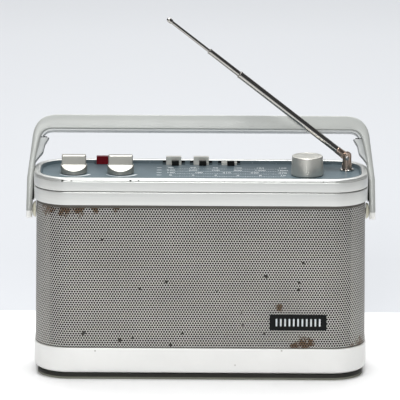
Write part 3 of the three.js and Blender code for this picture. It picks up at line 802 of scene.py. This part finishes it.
def band_ring(outer, inner, depth, rounding, side):
    """The rounded cross-section between an outer and an inner point, across the handle's depth."""
    wide = math.dist(outer, inner)
    corners_across = [(0, -depth), (0, depth), (wide, depth), (wide, -depth)]
    section = fillet([(across, y, rounding) for across, y in corners_across], 3)
    ring = []
    for across, y in section:
        t = across / wide
        ring.append((side * (outer[0] + (inner[0] - outer[0]) * t), y, outer[1] + (inner[1] - outer[1]) * t))
    return ring


def half_depth(v, full, foot):
    """Half the handle's depth at a height: a round foot, widening to the full band."""
    if v < 0:
        return math.sqrt(max(foot ** 2 - v ** 2, 0.05))
    return foot + (full - foot) * min(v / 20, 1)


def handle_shell():
    shares = [0.0, 0.06, 0.15, 0.3, 0.5, 0.75, 1, 1.25, 1.5, 1.75, 2, 2.25, 2.5, 2.75]
    shares += [3 + k / 14 for k in range(15)] + [4.25, 4.5, 4.75, 5]
    right = []
    for share in shares:
        outer = edge_point(OUTER, share)
        inner = edge_point(INNER, share)
        if share <= 2:
            inner = (inner_at(outer[1]), outer[1])
        rounding = 2.2 - 1.3 * min(max(share - 3, 0), 1)
        right.append(band_ring(outer, inner, half_depth(outer[1], 8, 7.6), rounding, 1))
    left = [[(-x, y, z) for x, y, z in ring] for ring in right[:-1]]
    points, faces = loft(right + left[::-1], False)
    placed = moved(points, handle_matrix())
    piece("handle_bow", placed, faces, "handle_silver", "handle", "handle_shell", sharp=40)


def inner_at(v):
    """The arm's inner edge at a height below the bend."""
    if v <= 0:
        return INNER["foot"]
    return INNER["foot"] + (INNER["bend"] - INNER["foot"]) * min(v / INNER["bend_at"], 1)


GRIP_PROUD = 1.8
LINER_FROM = 39.4
LINER_SEAM = 61.3
ARM_LINER_EDGE = [(143.3, LINER_FROM), (139.2, 45.0), (136.2, 48.2), (134.4, 55.6), (131.0, LINER_SEAM)]


def between(points, height):
    """The x of a line through (x, height) points at a height."""
    for (x0, v0), (x1, v1) in zip(points, points[1:]):
        if v0 <= height <= v1:
            return x0 + (x1 - x0) * (height - v0) / (v1 - v0)
    return points[-1][0]


def handle_liners():
    up = [3.21 + 0.79 * k / 12 for k in range(13)] + [4.33, 4.66, 5]
    rings = {1: [], -1: []}
    for side, ring in rings.items():
        for share in up:
            edges = edge_point(INNER, share, -0.4), edge_point(INNER, share, GRIP_PROUD)
            ring.append(band_ring(*edges, 6.1, 0.6, side))
    points, faces = loft(rings[1] + rings[-1][-2::-1], False)
    piece("grip_liner", moved(points, handle_matrix()), faces, "handle_liner", "handle", "handle_grip_liner")
    inner_line = [edge_point(INNER, 2 + k / 20) for k in range(41)]
    for name, side in (("left", -1), ("right", 1)):
        rings = []
        for k in range(17):
            height = LINER_FROM + (LINER_SEAM - LINER_FROM) * k / 16
            outer = (between(inner_line, height) + 0.4, height)
            inner = (between(ARM_LINER_EDGE, height), height)
            rings.append(band_ring(outer, inner, 6.1, 0.5, side))
        points, faces = loft(rings, False)
        made = piece(f"arm_liner_{name}", moved(points, handle_matrix()), faces, "handle_liner", "handle",
                     f"handle_liner_{name}", material=ARM_LINER)
        soften(made, 0.4)
        seam = []
        for height in (LINER_SEAM, LINER_SEAM + 0.8):
            outer = (between(inner_line, height) + 0.3, height)
            seam.append(band_ring(outer, (132.6, height), 5.8, 0.3, side))
        points, faces = loft(seam, False)
        piece(f"liner_seam_{name}", moved(points, handle_matrix()), faces, "black_plastic", "handle")


def arm_gap_shades():
    """A black strip down the inner face of each arm, beside the cabinet: painted shade for the shadowed gap
    between arm and cabinet.
    """
    for name, side in (("left", -1), ("right", 1)):
        rings = [band_ring((inner_at(v) + 0.1, v), (143.45, v), 5.6, 0.1, side) for v in (8.5, 16, 24, 32)]
        points, faces = loft(rings, False)
        piece(f"arm_gap_shade_{name}", moved(points, handle_matrix()), faces, "black_plastic", "handle")


def pivot_bosses():
    for name, side in (("left", -1), ("right", 1)):
        low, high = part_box(f"pivot_boss_{name}")
        length = (high.x - low.x) / MM
        shares = [(0, 0), (1, 0), (1, 0.15), (0.97, 0.35), (0.9, 0.6), (0.76, 0.82), (0.55, 0.95)]
        shares += [(0.3, 1), (0, 1)]
        outline = [(6.9 * across, length * along) for across, along in shares]
        points, faces = lathe(outline, 48)
        start = (low.x if side > 0 else high.x) / MM
        matrix = at(start, 0, PIVOT_Z) @ Matrix.Rotation(side * math.pi / 2, 4, "Y")
        placed = moved(points, matrix)
        piece(f"boss_{name}", placed, faces, "pale_silver", "cabinet", f"pivot_boss_{name}", material=CREAM)


# ---------- aerial ----------
def aerial_matrix():
    return at(*AERIAL) @ Matrix.Rotation(-math.radians(90 - AERIAL_ELEVATION), 4, "Y")


def aerial_part(name, outline, body, *nodes, material=None):
    points, faces = lathe(fillet(outline, 3), 40)
    piece(name, moved(points, aerial_matrix()), faces, "chrome", body, *nodes, material=material)


def aerial():
    collar = [(0, 5, 0), (3.2, 5, 0.3), (3.2, 11, 0.3), (2.9, 11.4, 0), (0, 11.4, 0)]
    low = [
        (0, 11.2, 0), (3.0, 11.2, 0), (3.1, 116, 0), (3.2, 116.5, 0.2),
        (3.2, 118, 0.4), (2.7, 118, 0.1), (2.6, 116.8, 0), (0, 116.8, 0),
    ]
    middle = [
        (0, 46, 0), (2.4, 46, 0), (2.4, 149.3, 0), (2.5, 149.6, 0.2),
        (2.5, 151, 0.4), (2.1, 151, 0.1), (2.0, 150, 0), (0, 150, 0),
    ]
    top = [
        (0, 92, 0), (1.45, 92, 0), (1.45, 191.4, 0), (2.1, 191.6, 0.3),
        (2.1, 195.2, 0.9), (1.0, 196.5, 0.8), (0, 196.5, 0),
    ]
    aerial_part("aerial_collar", collar, "aerial_lower", "antenna_tube_1", material=BRASSY)
    aerial_part("aerial_tube_low", low, "aerial_lower", "antenna_tube_1")
    aerial_part("aerial_tube_mid", middle, "aerial_middle", "antenna_tube_2")
    aerial_part("aerial_rod_top", top, "aerial_top", "antenna_tip")
    aerial_tang()
    rivet_head()


def aerial_tang():
    """The flat tongue of the lowest tube, which turns in the elbow's slot."""
    radius = 3.2
    outline = [(-radius, 6), (radius, 6)]
    for degrees in range(0, 181, 12):
        angle = math.radians(degrees)
        outline.append((radius * math.cos(angle), -radius * math.sin(angle)))
    rings = [[(x, y, z) for x, z in outline] for y in (-1.8, 1.8)]
    points, faces = loft(rings, False)
    placed = moved(points, aerial_matrix())
    made = piece("aerial_tang", placed, faces, "chrome", "aerial_lower", "antenna_tube_1", material=BRASSY)
    soften(made, 0.3)


def rivet_head():
    """The domed head of the elbow's pin, on the yoke's front."""
    x, y, z = AERIAL
    outline = [(0, 0, 0), (1.9, 0, 0), (1.9, 0.35, 0.2), (1.1, 0.75, 0.4), (0, 0.8, 0)]
    points, faces = lathe(fillet(outline, 3), 32)
    matrix = at(x, y - 4.0, z) @ Matrix.Rotation(math.pi / 2, 4, "X")
    piece("aerial_rivet", moved(points, matrix), faces, "steel", "aerial_swivel")


# ---------- everything that keeps its solid, with rounded edges and its finish ----------
def dress_solids():
    rounding = {"control_panel": 0.25, "power_button": 0.7, "band_button_1": 0.7, "band_button_2": 0.7,
                "band_button_3": 0.7, "band_window_1": 0.35, "band_window_2": 0.35, "band_window_3": 0.35,
                "antenna_swivel": 0.4, "antenna_socket": 0.2, "battery_door": 0.5, "back_cover": 0.3}
    slot_of = {entry["node"]: entry["material_slot"] for entry in frame["record"]["subparts"]}
    for name, node in NODES.items():
        node.data.materials.clear()
        node.data.materials.append(BRASSY if name == "antenna_swivel" else MATERIALS[slot_of[name]])
        if node.hide_render:
            continue
        node.data.polygons.foreach_set("use_smooth", [True] * len(node.data.polygons))
        soften(node, rounding.get(name, 0.3), 2, 32)


# ---------- stage ----------
CAMERA_PITCH = 13
CAMERA_AWAY = 4.2
VIEW_WIDTH = 0.3432
AIM = Vector((-0.00075, -0.008, 0.1513))


def camera():
    data = bpy.data.cameras.new("camera")
    data.sensor_width = 36
    data.lens = 36 * CAMERA_AWAY / VIEW_WIDTH
    data.clip_end = 20
    made = bpy.data.objects.new("camera", data)
    scene.collection.objects.link(made)
    pitch = math.radians(CAMERA_PITCH)
    look = Vector((0, math.cos(pitch), -math.sin(pitch)))
    made.location = AIM - look * CAMERA_AWAY
    roll = Matrix.Rotation(math.radians(0.32), 4, "Z")
    made.matrix_world = at(*made.location) @ Matrix.Rotation(math.pi / 2 - pitch, 4, "X") @ roll
    scene.camera = made


def soft_light(name, place, aim, size, power, colour=(1, 1, 1)):
    data = bpy.data.lights.new(name, "AREA")
    data.shape = "RECTANGLE"
    data.size, data.size_y = size
    data.energy = power
    data.color = colour
    made = bpy.data.objects.new(name, data)
    scene.collection.objects.link(made)
    made.location = place
    made.rotation_euler = (Vector(aim) - Vector(place)).to_track_quat("-Z", "Y").to_euler()


def stage_sheet(name, front, back, z, material):
    """A flat sheet 8 m wide from a front edge to a back edge, in metres."""
    mesh = bpy.data.meshes.new(name)
    mesh.from_pydata([(-4, front, z), (4, front, z), (4, back, z), (-4, back, z)], [], [(0, 1, 2, 3)])
    mesh.materials.append(material)
    made = bpy.data.objects.new(name, mesh)
    scene.collection.objects.link(made)


def stage():
    table = Nodes("table_white", (0.93, 0.93, 0.93), 0.55)
    table.mottle(3, 0.01)
    floor = Nodes("floor_grey", (0.585, 0.60, 0.625), 0.9)
    away = floor.add("ShaderNodeSeparateXYZ")
    floor.link(floor.place, away.inputs[0])
    floor.tint(floor.ramp(away.outputs["Y"], 0.4, 1.5), (0.74, 0.758, 0.785))
    table_end = 0.198
    stage_sheet("floor", -5, 4, -0.001, floor.material)
    stage_sheet("table_top", -0.6, table_end, 0, table.material)
    world = bpy.data.worlds.new("studio")
    world.use_nodes = True
    world.node_tree.nodes["Background"].inputs["Color"].default_value = (0.93, 0.96, 1.0, 1)
    world.node_tree.nodes["Background"].inputs["Strength"].default_value = 0.08
    scene.world = world
    soft_light("overhead", (0, -0.1, 1.6), (0, 0, 0), (0.9, 1.1), 25)
    soft_light("front", (-0.3, -2.6, 1.3), (0, 0, 0.1), (0.7, 0.9), 29)
    soft_light("behind", (0, 1.2, 1.9), (0, 1.2, 0), (2.6, 1.4), 29)
    soft_light("backdrop", (0, 2.6, 0.8), (0, 0, 0.15), (4.0, 1.0), 9)
    scene.view_settings.view_transform = "Standard"


camera()
stage()
base_tray()
base_plinth()
lower_band()
top_cover()
perforated("grille_left", -1)
perforated("grille_right", 1)
grille_strips()
speaker_cloth()
badge()
dial()
key_gaps()
grip_knobs()
tuning_knob()
handle_shell()
handle_liners()
arm_gap_shades()
pivot_bosses()
aerial()
dress_solids()


def corners(bounds):
    return [[float(value) for value in corner] for corner in bounds]
